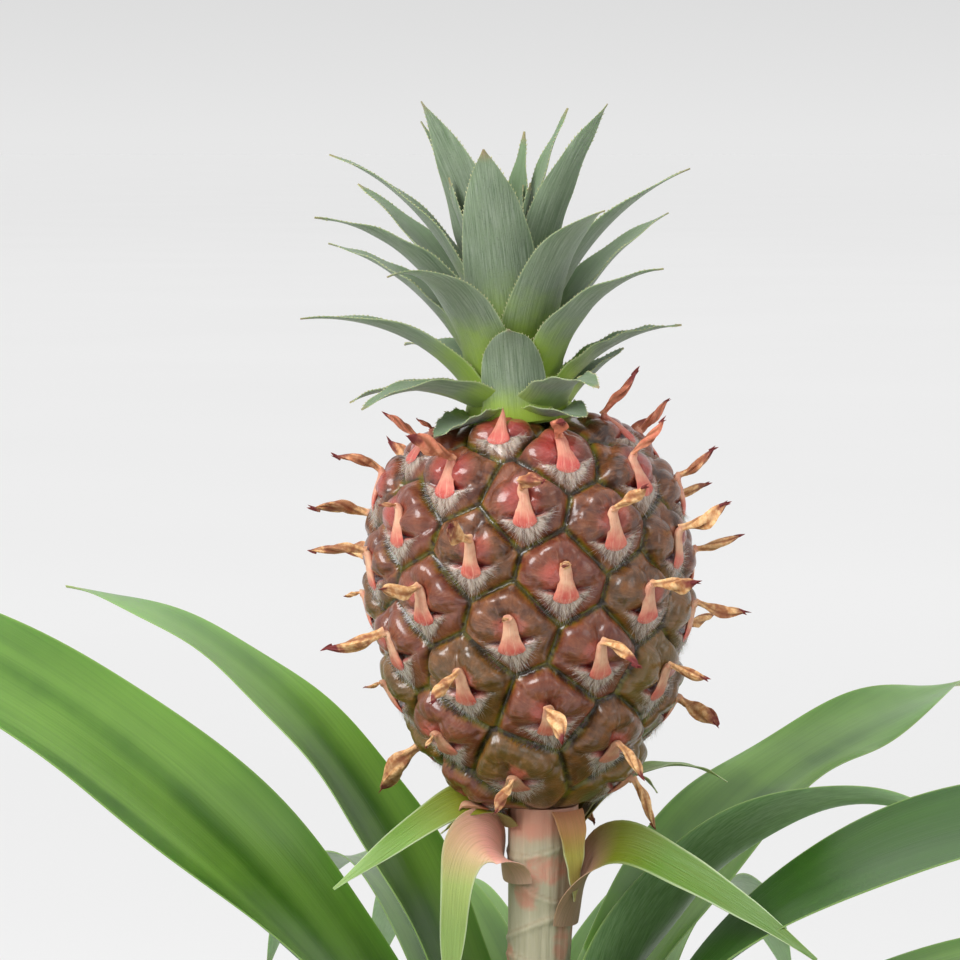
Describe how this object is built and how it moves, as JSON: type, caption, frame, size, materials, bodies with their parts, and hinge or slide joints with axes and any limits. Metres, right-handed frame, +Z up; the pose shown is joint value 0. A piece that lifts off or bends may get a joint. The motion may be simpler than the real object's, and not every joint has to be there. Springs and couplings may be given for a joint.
{
  "type": "potted pineapple plant",
  "caption": "Ornamental pineapple plant in a plain round pot: a rosette of arching strap leaves, a pale fruit stalk with bracts, and one small fruit under a leafy crown.",
  "frame": {"origin": "centre of the pot's flat bottom, where it rests on a surface", "axes": "+Z up along the stem; -Y towards the side that faces the viewer; +X to the viewer's right"},
  "size_m": [0.4457, 0.3858, 0.3965],
  "materials": {
    "pot_glaze": "satin glaze",
    "potting_soil": "matte crumbly",
    "stalk": "satin",
    "leaf": "glossy upper side, scurfy lower side",
    "bract": "satin",
    "fruit_skin": "waxy satin",
    "crown_leaf": "matte scurfy"
  },
  "bodies": {
    "root": {"pot": "pot_glaze", "soil": "potting_soil", "stem": "stalk", "strap_leaf_1": "leaf", "strap_leaf_2": "leaf", "strap_leaf_3": "leaf", "strap_leaf_4": "leaf", "strap_leaf_5": "leaf", "strap_leaf_6": "leaf", "strap_leaf_7": "leaf", "strap_leaf_8": "leaf", "strap_leaf_9": "leaf", "strap_leaf_10": "leaf", "strap_leaf_11": "leaf", "strap_leaf_12": "leaf", "strap_leaf_13": "leaf", "strap_leaf_14": "leaf", "strap_leaf_15": "leaf", "strap_leaf_16": "leaf", "stalk_bract_1": "bract", "stalk_bract_2": "bract", "stalk_bract_3": "bract", "stalk_bract_4": "bract", "stalk_bract_5": "bract", "stalk_bract_6": "bract", "stalk_bract_7": "bract", "fruit": "fruit_skin", "crown": "crown_leaf"}
  },
  "joints": []
}
